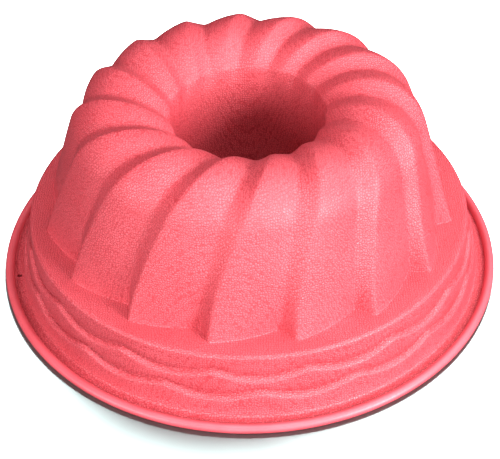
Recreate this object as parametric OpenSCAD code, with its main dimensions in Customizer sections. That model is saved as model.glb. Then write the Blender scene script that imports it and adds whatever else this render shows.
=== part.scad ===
// Silicone bundt pan, stored upside down on its rim.
// One moulding with a steel wire ring sealed inside the bead of its rim.
// The moulding is drawn as seven zones that meet face to face, so that each zone
// keeps the cake ring and the centre tube open. Origin: centre of the resting face, +Z up.

/* [Overall] */
// Outside diameter over the rim bead
rim_d = 240; // [230:1:250]
// Height from the resting face to the top of the crown
pan_h = 95; // [92:1:100]
// Thickness of the silicone wall
wall = 2.2; // [2:0.1:2.6]

/* [Rim] */
// Diameter of the round bead around the rim
bead_d = 4.4; // [4:0.1:5]
// Diameter of the steel wire inside the bead
wire_d = 2.4; // [2:0.1:2.8]
// Width of the flat flange between the bead and the skirt
flange_w = 4.6; // [4:0.1:6]
// Diameter of the small hanging hole through the flange
hang_hole_d = 2.2; // [1.5:0.1:2.6]
// Direction of the hanging hole around the rim, in degrees
hang_hole_az = 190; // [0:5:355]

/* [Skirt] */
// Height of the flat shoulder where the flutes begin
shoulder_z = 31.8; // [30:0.1:34]
// Outside radius of the shoulder
shoulder_r = 104.4; // [102:0.1:105]
// Rounding of the shoulder's outer edge
shoulder_round = 1.8; // [0.5:0.1:1.9]
// How far each lower band of the skirt stands out from the one above
band_step = 1.4; // [0.6:0.1:1.6]
// Rounding of the upper edge of each band
band_round = 2.2; // [1:0.1:2.4]
// Height of the low points of the upper scalloped line
upper_line_z = 20.8; // [20:0.1:22]
// Height of the low points of the lower scalloped line
lower_line_z = 11.5; // [9:0.1:12]
// Rise from a low point of a scalloped line to its cusp
scallop_rise = 3.5; // [1:0.1:4]
// Turn of the scallops' cusps from the flutes' corners, in degrees
scallop_turn = 1.9; // [0:0.1:5]

/* [Flutes] */
// Number of flutes, and of scallops in each line of the skirt
flute_count = 16; // [12:1:20]
// Radius of the sharp outer corner of each flute at the shoulder
tip_r = 96.9; // [95:0.1:98]
// Direction of the first flute's corner, in degrees
first_flute_az = -101; // [-180:1:180]
// Lean of the fluted wall away from the vertical, in degrees
wall_draft = 18.5; // [16:0.5:20]
// Radius of the outer side of the crown in section
crown_out_r = 23.5; // [22:0.5:25]
// Radius of the inner side of the crown in section
crown_in_r = 30; // [28:0.5:32]
// How far a flute turns around the axis between the shoulder and the lip, in degrees
swirl = 32; // [10:1:40]
// Depth of the step between two flutes at the shoulder
step_depth_base = 8; // [4:0.1:9]
// Depth of the step along the upper wall and the crown
step_depth_top = 3.5; // [2:0.1:4]
// Share of the step's depth that is left where the lip begins
lip_share = 0.4; // [0.1:0.05:0.8]
// Length over which the flutes fade out inside the tube
fade_len = 8; // [4:0.5:12]
// Width of the step face at the shoulder, as a part of one flute
step_width_base = 0.135; // [0.08:0.005:0.2]
// Width of the step face at the lip, as a part of one flute
step_width_lip = 0.515; // [0.2:0.005:0.55]

/* [Centre tube] */
// Slope of the crown where the rounded lip begins, in degrees past the top
lip_start = 50; // [40:1:60]
// Radius of the rounded lip
lip_r = 3; // [2:0.1:4]
// Taper of the tube away from the vertical, in degrees
tube_draft = 8.5; // [6:0.5:10]
// Height of the tube's lower end above the resting face
tube_end_z = 10; // [6:1:20]

/* [Hidden] */
$fn = 96;
silicone = [0.98, 0.47, 0.49];
steel = [0.72, 0.73, 0.75];
pitch = 360 / flute_count;

// Rim: the bead's centre line, and the wire channel that fits the wire.
bead_r = bead_d / 2;
bead_line_r = rim_d / 2 - bead_r;
flange_t = min(wall, bead_r);
flange_in_r = bead_line_r - bead_r - flange_w;
hang_hole_r_pos = bead_line_r - bead_r - flange_w / 2;

// Skirt: its draft brings the shoulder's radius out to the flange's inner edge.
skirt_top_z = shoulder_z - wall;
skirt_run = flange_in_r - shoulder_r - 2 * band_step;
skirt_slope = skirt_run / (shoulder_z - flange_t);

// Crown: an outer arc that is tangent to the wall, then a wider inner arc; both touch z = pan_h.
out_z = pan_h - crown_out_r;
in_z = pan_h - crown_in_r;
crown_r = tip_r - (crown_out_r - (shoulder_z - out_z) * sin(wall_draft)) / cos(wall_draft);
wall_top_z = out_z + crown_out_r * sin(wall_draft);
wall_len = (wall_top_z - shoulder_z) / cos(wall_draft);
out_len = crown_out_r * (90 - wall_draft) * PI / 180;
in_len = crown_in_r * lip_start * PI / 180;
lip_len = lip_r * (90 - tube_draft - lip_start) * PI / 180;
top_s = wall_len + out_len;
lip_s = top_s + in_len;
tube_s = lip_s + lip_len;
flute_len = tube_s + fade_len;
lip_start_pt = [crown_r - crown_in_r * sin(lip_start), in_z + crown_in_r * cos(lip_start)];
lip_centre = lip_start_pt + lip_r * [sin(lip_start), -cos(lip_start)];
lip_end_pt = lip_centre + lip_r * [-cos(tube_draft), sin(tube_draft)];
tube_top_pt = lip_end_pt - fade_len * [sin(tube_draft), cos(tube_draft)];

// Facets: how many columns each flute has, and how many rows each zone has.
fall_cols = 6;
rise_cols = 4;
wall_rows = 8;
crown_rows = 11;
lip_rows = 2;
skirt_cols = 10;

// Angle of the surface normal above the horizontal, at the distance s along the section.
function normal_angle(s) =
    s < wall_len ? wall_draft :
    s < top_s ? wall_draft + (s - wall_len) / crown_out_r * 180 / PI :
    s < lip_s ? 90 + (s - top_s) / crown_in_r * 180 / PI :
    s < tube_s ? 90 + lip_start + (s - lip_s) / lip_r * 180 / PI :
    180 - tube_draft;

// Radius and height of the flutes' ridge line at the distance s from the shoulder.
function ridge_point(s) =
    let (g = normal_angle(s))
    s < wall_len ? [tip_r - s * sin(wall_draft), shoulder_z + s * cos(wall_draft)] :
    s < top_s ? [crown_r + crown_out_r * cos(g), out_z + crown_out_r * sin(g)] :
    s < lip_s ? [crown_r + crown_in_r * cos(g), in_z + crown_in_r * sin(g)] :
    s < tube_s ? lip_centre + lip_r * [cos(g), sin(g)] :
    lip_end_pt - (s - tube_s) * [sin(tube_draft), cos(tube_draft)];

// The wall is offset level with the ground, and the crown square to its surface.
function offset_dir(s) =
    let (g = normal_angle(s))
    let (a = g < 90 ? (g - wall_draft) * 90 / (90 - wall_draft) : g)
    [cos(a), sin(a)];

// Depth of the step between flutes: deepest at the shoulder, gone a little way into the tube.
function step_depth(s) =
    let (near = max(0, 1 - s / (wall_len * 0.6)))
    let (depth = step_depth_top + (step_depth_base - step_depth_top) * near * near)
    s < top_s ? depth :
    s < lip_s ? depth * (1 - (1 - lip_share) * (s - top_s) / in_len) :
    depth * lip_share * (1 - (s - lip_s) / (flute_len - lip_s));

// Width of the step face as a part of the pitch: it opens out over the crown.
function step_width(s) =
    step_width_base + (step_width_lip - step_width_base) * pow(s / flute_len, 1.25);

// Turn of the ridge line around the axis at the distance s.
function turn(s) = swirl * pow(s / flute_len, 1.68);

// How far the surface lies below the ridge line, from 0 at the ridge to 1 at the step's foot.
// A flute's back is nearly straight at the shoulder and rounder on the crown.
function fall(u, s) = pow(u, 1.15 + 0.6 * s / flute_len);
function rise(v) = 1 - v * v * (3 - 2 * v);

// One column of a flute: its place in the pitch at distance s, and its share of the depth.
function column_phase(c, s) =
    c < fall_cols ? (1 - step_width(s)) * c / fall_cols :
    1 - step_width(s) * (1 - (c - fall_cols) / rise_cols);
function column_fall(c, s) =
    c < fall_cols ? fall(c / fall_cols, s) : rise((c - fall_cols) / rise_cols);

// A point of the fluted surface; inset is the distance below the outer face.
function flute_point(s, k, c, inset) =
    let (rz = ridge_point(s) - offset_dir(s) * (step_depth(s) * column_fall(c, s) + inset))
    let (az = first_flute_az + pitch * (k + column_phase(c, s)) + turn(s))
    [rz[0] * cos(az), rz[0] * sin(az), rz[1]];

// The closed section of a fluted zone at one column, out along the rows and back inside.
function flute_section(rows, k, c) = concat(
    [for (s = rows) flute_point(s, k, c, 0)],
    [for (i = [len(rows) - 1:-1:0]) flute_point(rows[i], k, c, wall)]);

// All sections of a fluted zone, around the whole ring.
function flute_sections(rows) =
    [for (k = [0:flute_count - 1]) for (c = [0:fall_cols + rise_cols - 1]) flute_section(rows, k, c)];

// Height of a scalloped line; p is the place within one scallop, with the cusp at 0.
function scallop_z(low_z, p) = low_z + scallop_rise * (1 - abs(sin(180 * p)));
function ledge(t) = t <= 0 ? 0 : t >= 1 ? 1 : sqrt(1 - (1 - t) * (1 - t));

// Outside radius of the skirt at height z, between its two scalloped lines.
function skirt_r(z, upper_z, lower_z) =
    shoulder_r + (shoulder_z - max(z, flange_t)) * skirt_slope
    + band_step * (ledge((upper_z - z) / band_round) + ledge((lower_z - z) / band_round));

// The closed section of the skirt at one place around the ring.
function skirt_section(p, az) =
    let (upper_z = scallop_z(upper_line_z, p))
    let (lower_z = scallop_z(lower_line_z, p + 0.5))
    let (edge = [0, 0.12, 0.45, 1])
    let (heights = concat(
        [0, flange_t],
        [for (i = [3:-1:0]) lower_z - edge[i] * band_round],
        [for (i = [3:-1:0]) upper_z - edge[i] * band_round],
        [skirt_top_z]))
    concat(
        [for (z = heights) turned(skirt_r(z, upper_z, lower_z), z, az)],
        [for (z = [skirt_top_z, upper_z, upper_z - band_round, lower_z, lower_z - band_round, flange_t, 0])
            turned(skirt_r(z, upper_z, lower_z) - wall, z, az)]);
function turned(r, z, az) = [r * cos(az), r * sin(az), z];
function skirt_sections() =
    [for (k = [0:flute_count - 1]) for (c = [0:skirt_cols - 1])
        let (p = c / skirt_cols)
        skirt_section(p, first_flute_az + scallop_turn + pitch * (k + p))];

// A ring-shaped solid through a list of closed sections.
module ring(sections) {
    n = len(sections);
    m = len(sections[0]);
    polyhedron(
        points = [for (section = sections) each section],
        faces = [for (j = [0:n - 1]) for (i = [0:m - 1]) for (half = [0, 1])
            let (here = j * m, next = ((j + 1) % n) * m, up = (i + 1) % m)
            half == 0 ? [here + i, here + up, next + i] : [next + i, here + up, next + up]],
        convexity = 8);
}

// A full torus around the axis at the bead's centre line.
module bead_torus(r) {
    rotate_extrude()
        translate([bead_line_r, bead_r])
            circle(r);
}

module rim_wire() {
    color(steel)
        bead_torus(wire_d / 2);
}

// The bead is moulded around the wire, so its channel has the wire's own size.
module rim_bead() {
    color(silicone)
        difference() {
            bead_torus(bead_r);
            bead_torus(wire_d / 2);
        }
}

// The flat flange ends against the bead; its underside is the resting face.
module rim_flange() {
    color(silicone)
        difference() {
            rotate_extrude()
                translate([flange_in_r, 0])
                    square([bead_line_r - flange_in_r, flange_t]);
            bead_torus(bead_r);
            rotate([0, 0, hang_hole_az])
                translate([hang_hole_r_pos, 0, -1])
                    cylinder(d = hang_hole_d, h = flange_t + 2);
        }
}

module scalloped_skirt() {
    color(silicone)
        ring(skirt_sections());
}

// The shoulder is a level plate, open inside the flutes where the cake ring passes.
module shoulder() {
    plate_r = skirt_r(shoulder_z - wall, upper_line_z, lower_line_z);
    color(silicone)
        difference() {
            rotate_extrude()
                union() {
                    translate([tip_r - 30, shoulder_z - wall])
                        square([plate_r - shoulder_round - tip_r + 30, wall]);
                    translate([plate_r - shoulder_round, shoulder_z - shoulder_round])
                        circle(shoulder_round);
                    translate([plate_r - shoulder_round, shoulder_z - wall])
                        square([shoulder_round, wall - shoulder_round]);
                }
            translate([0, 0, shoulder_z - wall - 1])
                linear_extrude(wall + 2)
                    polygon(flute_outline());
        }
}
function flute_outline() =
    [for (k = [0:flute_count - 1]) for (c = [0:fall_cols + rise_cols - 1])
        let (q = flute_point(0, k, c, wall))
        [q[0], q[1]]];

module fluted_wall() {
    color(silicone)
        ring(flute_sections([for (i = [0:wall_rows - 1]) wall_len * i / (wall_rows - 1)]));
}

module fluted_crown() {
    crown = [for (i = [0:crown_rows - 1]) wall_len + (lip_s - wall_len) * i / crown_rows];
    lip = [for (i = [0:lip_rows - 1]) lip_s + lip_len * i / lip_rows];
    fade = [for (i = [0:lip_rows]) tube_s + fade_len * i / lip_rows];
    color(silicone)
        ring(flute_sections(concat(crown, lip, fade)));
}

// The tube narrows downwards and is open at its lower end.
module centre_tube() {
    slope = tan(tube_draft);
    tube_end_r = tube_top_pt[0] - (tube_top_pt[1] - tube_end_z) * slope;
    back_top = tube_top_pt + wall * [cos(tube_draft), -sin(tube_draft)];
    color(silicone)
        rotate_extrude()
            polygon([
                tube_top_pt,
                [tube_end_r, tube_end_z],
                [back_top[0] - (back_top[1] - tube_end_z) * slope, tube_end_z],
                back_top]);
}

rim_wire();
rim_bead();
rim_flange();
scalloped_skirt();
shoulder();
fluted_wall();
fluted_crown();
centre_tube();
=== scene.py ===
"""Silicone bundt pan standing upside down on its rim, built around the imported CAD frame.

The real pan is one moulding, so one closed mesh stands for all the CAD's silicone zones:
centre tube, fluted crown and wall, shoulder, scalloped skirt, flange and rim bead.
The CAD's steel wire ring stays as it is, sealed inside the bead.
"""
import math

import bmesh
import bpy
import numpy as np
from mathutils import Matrix, Vector


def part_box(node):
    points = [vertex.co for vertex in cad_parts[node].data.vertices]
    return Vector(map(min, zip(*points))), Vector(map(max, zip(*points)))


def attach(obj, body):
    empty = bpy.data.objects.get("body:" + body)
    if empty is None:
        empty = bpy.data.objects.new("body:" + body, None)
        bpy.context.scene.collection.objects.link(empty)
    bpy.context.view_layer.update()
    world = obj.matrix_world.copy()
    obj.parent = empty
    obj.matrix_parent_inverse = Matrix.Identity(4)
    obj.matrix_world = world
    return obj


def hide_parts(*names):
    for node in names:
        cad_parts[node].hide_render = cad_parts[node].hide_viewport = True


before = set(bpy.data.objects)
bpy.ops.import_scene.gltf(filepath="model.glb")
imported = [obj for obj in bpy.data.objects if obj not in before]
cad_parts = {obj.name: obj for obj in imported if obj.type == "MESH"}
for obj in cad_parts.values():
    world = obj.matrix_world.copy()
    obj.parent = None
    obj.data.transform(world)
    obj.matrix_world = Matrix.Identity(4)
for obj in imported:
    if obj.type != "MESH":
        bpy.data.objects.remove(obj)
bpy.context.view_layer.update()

MM = 0.001
ZONES = ["centre_tube", "fluted_crown", "fluted_wall", "shoulder", "scalloped_skirt",
         "rim_flange", "rim_bead"]


def radii(node):
    """Smallest and largest distance of a CAD node's vertices from the axis."""
    r = [math.hypot(v.co.x, v.co.y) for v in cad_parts[node].data.vertices]
    return min(r), max(r)


# ---- Sizes taken from the CAD frame -------------------------------------------------------
RIM_R = radii("rim_bead")[1]
BEAD_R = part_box("rim_bead")[1].z / 2
BEAD_LINE_R = RIM_R - BEAD_R
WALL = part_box("rim_flange")[1].z
FLANGE_IN_R = radii("scalloped_skirt")[1]
SHELF_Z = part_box("shoulder")[1].z
SHELF_EDGE_R = radii("shoulder")[1]
PAN_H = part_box("fluted_crown")[1].z
WALL_TOP_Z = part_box("fluted_wall")[1].z
TIP_R = radii("fluted_wall")[1]
TUBE_END_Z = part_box("centre_tube")[0].z

# ---- Design values that the frame's boxes don't give --------------------------------------
FLUTES = 16
PITCH = 2 * math.pi / FLUTES
FIRST_AZ = math.radians(-101)
DRAFT = math.radians(18.5)
CROWN_IN_R = 30 * MM
LIP_START = math.radians(50)
LIP_R = 3 * MM
TUBE_DRAFT = math.radians(8.5)
FADE_LEN = 8 * MM
SWIRL = math.radians(32)
SWIRL_POWER = 1.68
STEP_DEPTH_BASE = 8 * MM
STEP_DEPTH_TOP = 3.5 * MM
DEEP_SHARE = 0.6
LIP_SHARE = 0.4
STEP_WIDTH_BASE = 0.135
STEP_WIDTH_LIP = 0.515
STEP_WIDTH_POWER = 1.25
STEP_CLIMB_POWER = 1.3
FLUTE_POWER_BASE = 1.15
FLUTE_POWER_GAIN = 0.6
BAND_STEP = 1.4 * MM
BAND_ROUND = 2.2 * MM
LEDGE_HOLLOW = 0.3
UPPER_LINE_Z = 20.8 * MM
LOWER_LINE_Z = 11.5 * MM
SCALLOP_RISE = 3.5 * MM
SCALLOP_TURN = math.radians(1.9)
SHELF_ROUND = 1.8 * MM
HANG_HOLE_AZ = math.radians(190)
HANG_HOLE_R = 1.1 * MM

# ---- Soft edges of the moulding -----------------------------------------------------------
FOOT_FILLET = 0.2 * MM
FLANGE_FILLET = 1.2 * MM
GROOVE = 0.6 * MM
CREASE = 1.2 * MM
CREASE_ABOVE = 0.9 * MM
CREASE_BELOW = 0.4 * MM
EDGE_ROUND = 1.0 * MM
RIDGE_SOFTNESS = 0.55 * MM
STEP_SOFTNESS = 0.04
CUSP_SOFTNESS = 0.10
FLUTE_SAMPLES = 512

# ---- Mesh columns: closest where the step between two flutes bends most ----------------------
# Each stretch of one flute, from phase a to phase b, has n columns.
COLUMN_STRETCHES = [(0.0, 0.05, 4), (0.05, 0.5, 11), (0.5, 0.66, 4), (0.66, 0.86, 8), (0.86, 1.0, 11)]
ONE_FLUTE = np.concatenate([np.linspace(a, b, n, endpoint=False) for a, b, n in COLUMN_STRETCHES])
PHASES = np.concatenate([k + ONE_FLUTE for k in range(FLUTES)])
COLS = len(PHASES)
BASE_AZ = FIRST_AZ + PITCH * PHASES

# ---- Section of the flutes' ridge line, measured along s from the shelf ----------------------
CROWN_OUT_R = (PAN_H - WALL_TOP_Z) / (1 - math.sin(DRAFT))
OUT_Z = PAN_H - CROWN_OUT_R
IN_Z = PAN_H - CROWN_IN_R
WALL_LEN = (WALL_TOP_Z - SHELF_Z) / math.cos(DRAFT)
CROWN_R = TIP_R - WALL_LEN * math.sin(DRAFT) - CROWN_OUT_R * math.cos(DRAFT)
TOP_S = WALL_LEN + CROWN_OUT_R * (math.pi / 2 - DRAFT)
LIP_S = TOP_S + CROWN_IN_R * LIP_START
TUBE_S = LIP_S + LIP_R * (math.pi / 2 - TUBE_DRAFT - LIP_START)
FLUTE_LEN = TUBE_S + FADE_LEN
LIP_CENTRE = np.array([CROWN_R - (CROWN_IN_R - LIP_R) * math.sin(LIP_START),
                       IN_Z + (CROWN_IN_R - LIP_R) * math.cos(LIP_START)])
LIP_END = LIP_CENTRE + LIP_R * np.array([-math.cos(TUBE_DRAFT), math.sin(TUBE_DRAFT)])
DOWN_TUBE = -np.array([math.sin(TUBE_DRAFT), math.cos(TUBE_DRAFT)])
END_ROUND = WALL / 2
TUBE_LEN = (LIP_END[1] - TUBE_END_Z - END_ROUND * (1 + math.sin(TUBE_DRAFT))) / math.cos(TUBE_DRAFT)

# ---- Slope of the skirt, which runs from the shelf's edge to the flange ----------------------
SKIRT_SLOPE = (FLANGE_IN_R - 2 * BAND_STEP - SHELF_EDGE_R) / (SHELF_Z - 2 * WALL)
SHELF_R = SHELF_EDGE_R - WALL * SKIRT_SLOPE


def ridge_point(s):
    """Radius and height of the ridge line at s, and the angle of the surface there."""
    if s < WALL_LEN:
        return np.array([TIP_R - s * math.sin(DRAFT), SHELF_Z + s * math.cos(DRAFT)]), DRAFT
    if s < TOP_S:
        a = DRAFT + (s - WALL_LEN) / CROWN_OUT_R
        return np.array([CROWN_R + CROWN_OUT_R * math.cos(a), OUT_Z + CROWN_OUT_R * math.sin(a)]), a
    if s < LIP_S:
        a = math.pi / 2 + (s - TOP_S) / CROWN_IN_R
        return np.array([CROWN_R + CROWN_IN_R * math.cos(a), IN_Z + CROWN_IN_R * math.sin(a)]), a
    if s < TUBE_S:
        a = math.pi / 2 + LIP_START + (s - LIP_S) / LIP_R
        return LIP_CENTRE + LIP_R * np.array([math.cos(a), math.sin(a)]), a
    return LIP_END + (s - TUBE_S) * DOWN_TUBE, math.pi - TUBE_DRAFT


def offset_dir(a):
    """The wall is inset level with the ground, and the crown square to its surface."""
    if a < math.pi / 2:
        a = (a - DRAFT) * (math.pi / 2) / (math.pi / 2 - DRAFT)
    return np.array([math.cos(a), math.sin(a)])


def step_depth(s):
    """Depth of the step between two flutes: deepest at the shelf, gone inside the tube."""
    near = max(0.0, 1 - s / (WALL_LEN * DEEP_SHARE))
    depth = STEP_DEPTH_TOP + (STEP_DEPTH_BASE - STEP_DEPTH_TOP) * near * near
    if s < TOP_S:
        return depth
    if s < LIP_S:
        return depth * (1 - (1 - LIP_SHARE) * (s - TOP_S) / (LIP_S - TOP_S))
    return depth * LIP_SHARE * max(0.0, 1 - (s - LIP_S) / (FLUTE_LEN - LIP_S))


def turn(s):
    """Turn of the ridge line around the axis."""
    return SWIRL * min(1.0, s / FLUTE_LEN) ** SWIRL_POWER


def flute_fall(s, radius):
    """Share of the step's depth at every column: 0 on the ridge, 1 at the foot of the step."""
    s = min(s, FLUTE_LEN)
    width = STEP_WIDTH_BASE + (STEP_WIDTH_LIP - STEP_WIDTH_BASE) * (s / FLUTE_LEN) ** STEP_WIDTH_POWER
    power = FLUTE_POWER_BASE + FLUTE_POWER_GAIN * s / FLUTE_LEN
    u = np.arange(FLUTE_SAMPLES) / FLUTE_SAMPLES
    back = np.clip(u / (1 - width), 0, 1) ** power
    climb = np.clip((u - (1 - width)) / width, 0, 1)
    shape = np.where(u < 1 - width, back, 1 - climb ** STEP_CLIMB_POWER)
    sigma = RIDGE_SOFTNESS / (radius * PITCH) + STEP_SOFTNESS * width
    freq = np.fft.rfftfreq(FLUTE_SAMPLES, 1 / FLUTE_SAMPLES)
    smooth = np.fft.irfft(np.fft.rfft(shape) * np.exp(-2 * (math.pi * freq * sigma) ** 2), FLUTE_SAMPLES)
    smooth = (smooth - smooth.min()) / (smooth.max() - smooth.min())
    return np.interp(PHASES % 1.0, np.append(u, 1.0), np.append(smooth, smooth[0]))


def fluted_row(s, inset=0.0, out=0.0):
    """One ring of points across all flutes at s; inset goes into the wall, out moves it outwards."""
    point, angle = ridge_point(s)
    way = offset_dir(angle)
    drop = step_depth(s) * flute_fall(s, point[0]) + inset
    return point[0] - way[0] * drop + out, point[1] - way[1] * drop, BASE_AZ + turn(s)


def scallop_line(low_z, shift):
    """Height of a scalloped line at every column; its softened cusps point up."""
    soft = CUSP_SOFTNESS
    swing = np.sin(math.pi * (PHASES + shift - SCALLOP_TURN / PITCH))
    swing = (np.sqrt(swing ** 2 + soft ** 2) - soft) / (math.sqrt(1 + soft ** 2) - soft)
    return low_z + SCALLOP_RISE * (1 - swing)


UPPER_LINE = scallop_line(UPPER_LINE_Z, 0.0)
LOWER_LINE = scallop_line(LOWER_LINE_Z, 0.5)


def ledge(t):
    """Profile of a band's upper edge: a hollow curve out of the crease, then a round edge."""
    hollow = np.clip(t / LEDGE_HOLLOW, 0, 1)
    edge = np.clip((t - LEDGE_HOLLOW) / (1 - LEDGE_HOLLOW), 0, 1)
    return LEDGE_HOLLOW * (1 - np.sqrt(1 - hollow ** 2)) + (1 - LEDGE_HOLLOW) * np.sqrt(1 - (1 - edge) ** 2)


def skirt_radius(z):
    """Outside radius of the skirt at the heights z, one height for each column."""
    r = SHELF_R + (SHELF_Z - np.maximum(z, WALL)) * SKIRT_SLOPE
    for line in (UPPER_LINE, LOWER_LINE):
        spread = np.where(z > line, CREASE_ABOVE, CREASE_BELOW)
        r = r + BAND_STEP * ledge((line - z) / BAND_ROUND) - CREASE * np.exp(-((z - line) / spread) ** 2)
    return r


def skirt_rows(top_z, bottom_z, band_rows, crease_rows, ledge_rows, inset=0.0):
    """Rings down the skirt from top_z to bottom_z that follow both scalloped lines."""
    heights = []
    start = np.full(COLS, top_z)
    for line in (UPPER_LINE, LOWER_LINE):
        crease_top = line + 1.5 * CREASE_ABOVE
        for i in range(band_rows):
            heights.append(start + (crease_top - start) * i / band_rows)
        for i in range(crease_rows):
            heights.append(crease_top + (line - crease_top) * i / crease_rows)
        for i in range(ledge_rows):
            heights.append(line - BAND_ROUND * (1 - math.cos(math.pi / 2 * i / ledge_rows)))
        start = line - BAND_ROUND
    for i in range(band_rows + 1):
        heights.append(start + (bottom_z - start) * i / band_rows)
    return [(skirt_radius(z) - inset, z, BASE_AZ) for z in heights]


def level(r, z):
    """A ring with the same height, and often the same radius, all round."""
    return np.broadcast_to(r, (COLS,)), np.broadcast_to(z, (COLS,)), BASE_AZ


def arc_rows(centre_r, centre_z, radius, start, end, count):
    """Rings along an arc of the section, from start to end in degrees."""
    rows = []
    for i in range(count + 1):
        a = math.radians(start + (end - start) * i / count)
        rows.append(level(centre_r + radius * math.cos(a), centre_z + radius * math.sin(a)))
    return rows


def span(start, end, count):
    """count places from start up to but not including end."""
    return [start + (end - start) * i / count for i in range(count)]


def show_side():
    """The side that shows: up the tube, over the crown, down the wall and skirt to the bead."""
    stretches = [(TUBE_S + TUBE_LEN, FLUTE_LEN, 8), (FLUTE_LEN, TUBE_S, 5), (TUBE_S, LIP_S, 3),
                 (LIP_S, TOP_S, 15), (TOP_S, WALL_LEN, 17), (WALL_LEN, FOOT_FILLET / math.cos(DRAFT), 22)]
    rows = [fluted_row(s) for start, end, count in stretches for s in span(start, end, count)]
    for t in span(0.0, 1.0, 4):
        rise = FOOT_FILLET * (1 - math.sin(math.pi / 2 * t))
        out = FOOT_FILLET * (1 - math.cos(math.pi / 2 * t))
        rows.append(fluted_row(rise / math.cos(DRAFT), out=out))
    foot_r = fluted_row(0.0, out=FOOT_FILLET)[0]
    edge_r = SHELF_R + SHELF_ROUND * SKIRT_SLOPE - SHELF_ROUND
    for t in span(0.0, 1.0, 5):
        rows.append(level(foot_r + (edge_r - foot_r) * t, SHELF_Z))
    lean = math.degrees(math.atan(SKIRT_SLOPE))
    rows += arc_rows(edge_r, SHELF_Z - SHELF_ROUND, SHELF_ROUND, 90, lean, 5)
    rows += skirt_rows(SHELF_Z - SHELF_ROUND * 1.3, WALL + FLANGE_FILLET, 2, 4, 5)
    fillet_r = FLANGE_IN_R + FLANGE_FILLET
    rows += arc_rows(fillet_r, WALL + FLANGE_FILLET, FLANGE_FILLET, 200, 270, 3)
    bead_in_r = BEAD_LINE_R - BEAD_R
    rows.append(level((fillet_r + bead_in_r) / 2, WALL))
    for out, sink in ((-2.0, 0.0), (-1.0, 0.75), (-0.2, 1.0)):
        rows.append(level(bead_in_r + out * GROOVE, WALL - sink * GROOVE))
    return rows


def cake_side():
    """The side that holds the cake: underside of the rim, skirt, shelf, flutes and tube."""
    inner_r = FLANGE_IN_R - WALL
    edge_r = inner_r + EDGE_ROUND
    rows = [level(BEAD_LINE_R + (edge_r - BEAD_LINE_R) * t, 0.0) for t in (0.33, 0.67, 1.0)]
    rows += arc_rows(edge_r, EDGE_ROUND, EDGE_ROUND, 240, 190, 2)
    under_z = SHELF_Z - WALL
    corner_z = under_z - SHELF_ROUND
    rows += skirt_rows(corner_z, EDGE_ROUND * 1.5, 1, 2, 3, inset=WALL)[::-1]
    corner_r = SHELF_R + SHELF_ROUND * SKIRT_SLOPE - WALL - SHELF_ROUND
    rows += arc_rows(corner_r, corner_z, SHELF_ROUND, 22, 90, 3)
    cake_r = fluted_row(0.0, inset=WALL)[0]
    start = corner_r - 0.4 * MM
    rows += [level(start + (cake_r + EDGE_ROUND - start) * t, under_z) for t in span(0.0, 1.0, 3)]
    for t in (0.0, 0.33, 0.67, 1.0):
        a = math.pi / 2 * t
        rows.append(level(cake_r + EDGE_ROUND * (1 - math.sin(a)), under_z + EDGE_ROUND * (1 - math.cos(a))))
    stretches = [(0.0, WALL_LEN, 9), (WALL_LEN, TOP_S, 8), (TOP_S, LIP_S, 6), (LIP_S, TUBE_S, 3),
                 (TUBE_S, FLUTE_LEN, 3), (FLUTE_LEN, TUBE_S + TUBE_LEN, 4)]
    rows += [fluted_row(s, inset=WALL) for start, end, count in stretches for s in span(start, end, count)]
    end = LIP_END + TUBE_LEN * DOWN_TUBE
    centre = end + END_ROUND * np.array([math.cos(TUBE_DRAFT), -math.sin(TUBE_DRAFT)])
    for t in span(0.0, 1.0, 5):
        a = -TUBE_DRAFT - math.pi * t
        r = centre[0] + END_ROUND * math.cos(a)
        rows.append((np.full(COLS, r), np.full(COLS, centre[1] + END_ROUND * math.sin(a)), BASE_AZ + SWIRL))
    return rows


def bead_side():
    """The smooth bead, from its inner side over the top and down to its resting line."""
    return arc_rows(BEAD_LINE_R, BEAD_R, BEAD_R, 186, -90, 15)


def ring_mesh(name, parts):
    """A closed ring-shaped mesh through rings of points.

    parts lists (rows, material index, column step); a part with step 2 uses every second column.
    """
    points, rings = [], []
    first = 0
    for rows, material, step in parts:
        for r, z, az in rows:
            r, z, az = r[::step], z[::step], az[::step]
            points.append(np.stack([r * np.cos(az), r * np.sin(az), z], axis=-1))
            rings.append((first, len(r), material))
            first += len(r)
    faces, materials = [], []
    for (a, a_count, material), (b, b_count, b_material) in zip(rings, rings[1:] + rings[:1]):
        before = len(faces)
        if a_count == b_count:
            for j in range(a_count):
                k = (j + 1) % a_count
                faces.append((a + j, b + j, b + k, a + k))
        elif a_count > b_count:
            for j in range(b_count):
                k = (j + 1) % b_count
                faces += [(a + 2 * j, b + j, a + 2 * j + 1), (a + 2 * j + 1, b + j, b + k),
                          (a + 2 * j + 1, b + k, a + 2 * k)]
        else:
            for j in range(a_count):
                k = (j + 1) % a_count
                faces += [(a + j, b + 2 * j, b + 2 * j + 1), (a + j, b + 2 * j + 1, a + k),
                          (a + k, b + 2 * j + 1, b + 2 * k)]
        materials += [min(material, b_material)] * (len(faces) - before)
    mesh = bpy.data.meshes.new(name)
    mesh.from_pydata(np.concatenate(points).tolist(), [], faces)
    mesh.polygons.foreach_set("material_index", np.array(materials, np.int32))
    mesh.polygons.foreach_set("use_smooth", np.ones(len(faces), bool))
    mesh.update()
    return mesh


def linked(name, mesh):
    """A new object that holds the mesh, in the scene."""
    obj = bpy.data.objects.new(name, mesh)
    bpy.context.scene.collection.objects.link(obj)
    return obj


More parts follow.
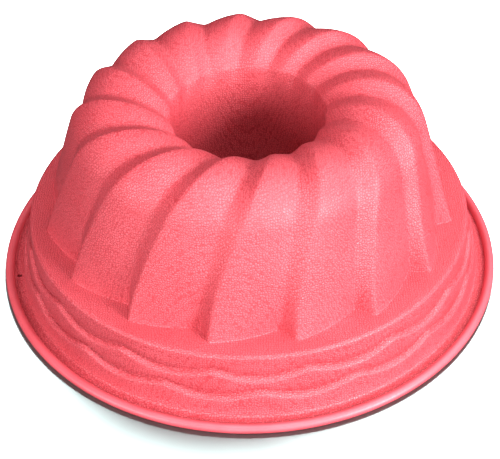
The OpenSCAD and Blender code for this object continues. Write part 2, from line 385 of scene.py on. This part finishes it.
def cut_hanging_hole(pan):
    """Cuts the small round hole through the flange."""
    at_r = BEAD_LINE_R - BEAD_R - (BEAD_LINE_R - BEAD_R - FLANGE_IN_R) / 2
    bm = bmesh.new()
    place = Matrix.Translation((at_r * math.cos(HANG_HOLE_AZ), at_r * math.sin(HANG_HOLE_AZ), WALL / 2))
    bmesh.ops.create_cone(bm, cap_ends=True, segments=32, radius1=HANG_HOLE_R, radius2=HANG_HOLE_R,
                          depth=2 * WALL, matrix=place)
    tool_mesh = bpy.data.meshes.new("hole_tool")
    bm.to_mesh(tool_mesh)
    bm.free()
    tool = linked("hole_tool", tool_mesh)
    cut = pan.modifiers.new("hanging_hole", "BOOLEAN")
    cut.operation = "DIFFERENCE"
    cut.solver = "EXACT"
    cut.object = tool
    bpy.context.view_layer.update()
    shaped = bpy.data.meshes.new_from_object(pan.evaluated_get(bpy.context.evaluated_depsgraph_get()))
    pan.modifiers.clear()
    pan.data = shaped
    bpy.data.objects.remove(tool)


# ---- Materials ------------------------------------------------------------------------------
def new_material(name):
    """A material with only a Principled shader, and its node tree and shader."""
    material = bpy.data.materials.new(name)
    material.use_nodes = True
    tree = material.node_tree
    tree.nodes.clear()
    shader = tree.nodes.new("ShaderNodeBsdfPrincipled")
    output = tree.nodes.new("ShaderNodeOutputMaterial")
    tree.links.new(shader.outputs[0], output.inputs[0])
    return material, tree, shader


def node(tree, kind, inputs=None, **settings):
    """A new node with its settings, and its inputs given as values or as sockets to link from."""
    made = tree.nodes.new(kind)
    for key, value in settings.items():
        setattr(made, key, value)
    for key, value in (inputs or {}).items():
        if isinstance(value, bpy.types.NodeSocket):
            tree.links.new(value, made.inputs[key])
        else:
            made.inputs[key].default_value = value
    return made


def in_millimetres(tree):
    """Object coordinates scaled to millimetres."""
    coords = node(tree, "ShaderNodeTexCoord")
    return node(tree, "ShaderNodeVectorMath", {0: coords.outputs["Object"], 1: (1000, 1000, 1000)},
                operation="MULTIPLY").outputs[0]


def ramp(tree, factor, stops):
    """A colour ramp's output for stops of (place, colour)."""
    made = node(tree, "ShaderNodeValToRGB", {"Fac": factor})
    elements = made.color_ramp.elements
    while len(elements) < len(stops):
        elements.new(0.5)
    for element, (place, colour) in zip(elements, stops):
        element.position = place
        element.color = (*colour, 1)
    return made.outputs["Color"]


def maths(tree, operation, a, b):
    """The output of a math node on a and b."""
    return node(tree, "ShaderNodeMath", {0: a, 1: b}, operation=operation).outputs[0]


# Linear colours: the skin, a darker painted shade for the grooves between pebbles, and the skin where it is a
# little lighter.
SILICONE = (0.575, 0.106, 0.130)
SILICONE_GROOVE_SHADE = (0.37, 0.040, 0.052)
SILICONE_WORN = (0.61, 0.122, 0.148)


def silicone_body(shader):
    """Settings that both silicone finishes share."""
    shader.inputs["Subsurface Weight"].default_value = 0.06
    shader.inputs["Subsurface Radius"].default_value = (1.0, 0.25, 0.22)
    shader.inputs["Subsurface Scale"].default_value = 0.001
    shader.inputs["IOR"].default_value = 1.41
    shader.inputs["Specular IOR Level"].default_value = 0.9


def pebbled_silicone():
    """Moulded silicone with a fine pebble grain, each pebble about a millimetre across, and painted shade
    darkening the grooves between pebbles.
    """
    material, tree, shader = new_material("silicone_pebbled")
    silicone_body(shader)
    place = in_millimetres(tree)
    cells = node(tree, "ShaderNodeTexVoronoi", {"Vector": place, "Scale": 0.92, "Randomness": 0.7},
                 feature="DISTANCE_TO_EDGE")
    from_groove = node(tree, "ShaderNodeMapRange", {"Value": cells.outputs["Distance"], "From Max": 0.26},
                       interpolation_type="SMOOTHERSTEP").outputs[0]
    height = maths(tree, "ADD", from_groove, maths(tree, "MULTIPLY", cells.outputs["Distance"], 0.8))
    bump = node(tree, "ShaderNodeBump", {"Height": height, "Strength": 1.0, "Distance": 0.00012})
    tree.links.new(bump.outputs[0], shader.inputs["Normal"])
    broad = node(tree, "ShaderNodeTexNoise", {"Vector": place, "Scale": 0.045, "Detail": 3.0})
    tint = ramp(tree, broad.outputs["Fac"], [(0.35, SILICONE), (0.68, SILICONE_WORN)])
    # Painted shade: the colour darkens towards the grooves between pebbles, standing in for the grain's own
    # small shadows.
    painted_groove_shade = ramp(tree, from_groove, [(0.0, (1, 1, 1)), (0.7, (0, 0, 0))])
    colour = node(tree, "ShaderNodeMix", {"A": tint, "B": (*SILICONE_GROOVE_SHADE, 1)}, data_type="RGBA")
    tree.links.new(maths(tree, "MULTIPLY", painted_groove_shade, 0.75), colour.inputs["Factor"])
    tree.links.new(colour.outputs["Result"], shader.inputs["Base Color"])
    rough = maths(tree, "ADD", 0.40, maths(tree, "MULTIPLY", broad.outputs["Fac"], 0.16))
    tree.links.new(rough, shader.inputs["Roughness"])
    return material


def smooth_silicone():
    """The same silicone where the mould was polished: the bead."""
    material, tree, shader = new_material("silicone_smooth")
    silicone_body(shader)
    place = in_millimetres(tree)
    broad = node(tree, "ShaderNodeTexNoise", {"Vector": place, "Scale": 0.06, "Detail": 3.0})
    tint = ramp(tree, broad.outputs["Fac"], [(0.35, SILICONE), (0.68, SILICONE_WORN)])
    tree.links.new(tint, shader.inputs["Base Color"])
    skin = node(tree, "ShaderNodeTexNoise", {"Vector": place, "Scale": 0.9, "Detail": 2.0})
    bump = node(tree, "ShaderNodeBump", {"Height": skin.outputs["Fac"], "Strength": 0.25, "Distance": 0.0002})
    tree.links.new(bump.outputs[0], shader.inputs["Normal"])
    rough = maths(tree, "ADD", 0.44, maths(tree, "MULTIPLY", skin.outputs["Fac"], 0.12))
    tree.links.new(rough, shader.inputs["Roughness"])
    return material


def drawn_steel():
    """The wire ring's steel, with fine marks from drawing."""
    material, tree, shader = new_material("drawn_steel")
    shader.inputs["Metallic"].default_value = 1.0
    place = in_millimetres(tree)
    marks = node(tree, "ShaderNodeTexNoise", {"Vector": place, "Scale": 4.0, "Detail": 4.0})
    tint = ramp(tree, marks.outputs["Fac"], [(0.3, (0.50, 0.51, 0.53)), (0.7, (0.66, 0.67, 0.69))])
    tree.links.new(tint, shader.inputs["Base Color"])
    rough = maths(tree, "ADD", 0.26, maths(tree, "MULTIPLY", marks.outputs["Fac"], 0.2))
    tree.links.new(rough, shader.inputs["Roughness"])
    bump = node(tree, "ShaderNodeBump", {"Height": marks.outputs["Fac"], "Strength": 0.2, "Distance": 0.00005})
    tree.links.new(bump.outputs[0], shader.inputs["Normal"])
    return material


def floor_material():
    """A matt white floor, tinted slightly blue-green against the pan's red."""
    material, tree, shader = new_material("floor_white")
    grain = node(tree, "ShaderNodeTexNoise", {"Scale": 40.0, "Detail": 2.0})
    tint = ramp(tree, grain.outputs["Fac"], [(0.3, (0.64, 0.79, 0.78)), (0.7, (0.66, 0.81, 0.80))])
    tree.links.new(tint, shader.inputs["Base Color"])
    shader.inputs["Roughness"].default_value = 0.9
    shader.inputs["Specular IOR Level"].default_value = 0.0
    return material


# ---- The pan --------------------------------------------------------------------------------
PEBBLED, SMOOTH = 0, 1
pan = linked("silicone_pan", ring_mesh("silicone_pan", [
    (show_side(), PEBBLED, 1),
    (bead_side(), SMOOTH, 2),
    (cake_side(), PEBBLED, 2),
]))
pan.data.materials.append(pebbled_silicone())
pan.data.materials.append(smooth_silicone())
cut_hanging_hole(pan)
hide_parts(*ZONES)
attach(pan, "root")

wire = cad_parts["rim_wire"]
for material_slot in wire.material_slots:
    material_slot.material = drawn_steel()

# ---- Floor, light and camera ------------------------------------------------------------------
FLOOR_SIZE = 6
WORLD_STRENGTH = 0.10
PAN_CENTRE = (0, 0, 0.04)
LIGHT_DISTANCE = 1.2
FLOOR_LIGHT_PLACE = (0.15, 0.62, 1.05)
FLOOR_LIGHT_SIDE = 0.45
FLOOR_LIGHT_POWER = 47
ELEVATION = math.radians(41.8)
DISTANCE = 0.62
ROLL = math.radians(0.85)
SENSOR = 36.0
LENS = 89.6
SHIFT = (0.0011, 0.0377)

bpy.ops.mesh.primitive_plane_add(size=FLOOR_SIZE, location=(0, 0, 0))
floor = bpy.context.object
floor.name = "floor"
floor.data.materials.append(floor_material())
# The floor throws no light back on to the pan, so the pan's own lights set its shading.
floor.visible_diffuse = False
floor.visible_glossy = False

world = bpy.data.worlds.new("studio")
world.use_nodes = True
world.node_tree.nodes["Background"].inputs["Color"].default_value = (1.0, 1.0, 1.0, 1)
world.node_tree.nodes["Background"].inputs["Strength"].default_value = WORLD_STRENGTH
bpy.context.scene.world = world


def area_light(name, place, size, power, aim=PAN_CENTRE):
    """A square soft light that faces the place it is aimed at."""
    data = bpy.data.lights.new(name, "AREA")
    data.size = size
    data.energy = power
    light = bpy.data.objects.new(name, data)
    light.location = place
    light.rotation_euler = (Vector(aim) - Vector(place)).to_track_quat("-Z", "Y").to_euler()
    bpy.context.scene.collection.objects.link(light)
    return light


# The pan's lights: name, azimuth and height angle in degrees, side in metres, power in watts.
PAN_LIGHTS = [("key", -42, 22, 0.45, 17.5), ("front", -90, 14, 0.5, 4.5), ("front_left", -140, 20, 0.5, 8.5),
              ("right_high", 5, 50, 0.5, 4.5), ("top", -75, 76, 0.4, 6.0), ("back_right", 60, 50, 0.6, 1.5)]
pan_only = bpy.data.collections.new("pan_only")
pan_only.objects.link(pan)
pan_only.objects.link(wire)
for name, azimuth, height, side, power in PAN_LIGHTS:
    az, el = math.radians(azimuth), math.radians(height)
    light = area_light(name, (LIGHT_DISTANCE * math.cos(el) * math.cos(az),
                              LIGHT_DISTANCE * math.cos(el) * math.sin(az),
                              LIGHT_DISTANCE * math.sin(el)), side, power)
    light.light_linking.receiver_collection = pan_only
# The floor has a light of its own, high behind the pan, which lays the soft shadow in front of the rim.
floor_light = area_light("floor_light", FLOOR_LIGHT_PLACE, FLOOR_LIGHT_SIDE, FLOOR_LIGHT_POWER, aim=(0, 0, 0))
floor_only = bpy.data.collections.new("floor_only")
floor_only.objects.link(floor)
floor_light.light_linking.receiver_collection = floor_only

back = Vector((0, -math.cos(ELEVATION), math.sin(ELEVATION)))
right = Vector((1, 0, 0))
up = back.cross(right)
rolled_right = right * math.cos(ROLL) - up * math.sin(ROLL)
rolled_up = up * math.cos(ROLL) + right * math.sin(ROLL)
camera_data = bpy.data.cameras.new("camera")
camera_data.sensor_width = SENSOR
camera_data.lens = LENS
camera_data.shift_x, camera_data.shift_y = SHIFT
camera = bpy.data.objects.new("camera", camera_data)
place = Matrix((rolled_right, rolled_up, back)).transposed().to_4x4()
place.translation = back * DISTANCE
camera.matrix_world = place
bpy.context.scene.collection.objects.link(camera)
bpy.context.scene.camera = camera
bpy.context.scene.view_settings.view_transform = "Standard"
bpy.context.scene.view_settings.look = "High Contrast"
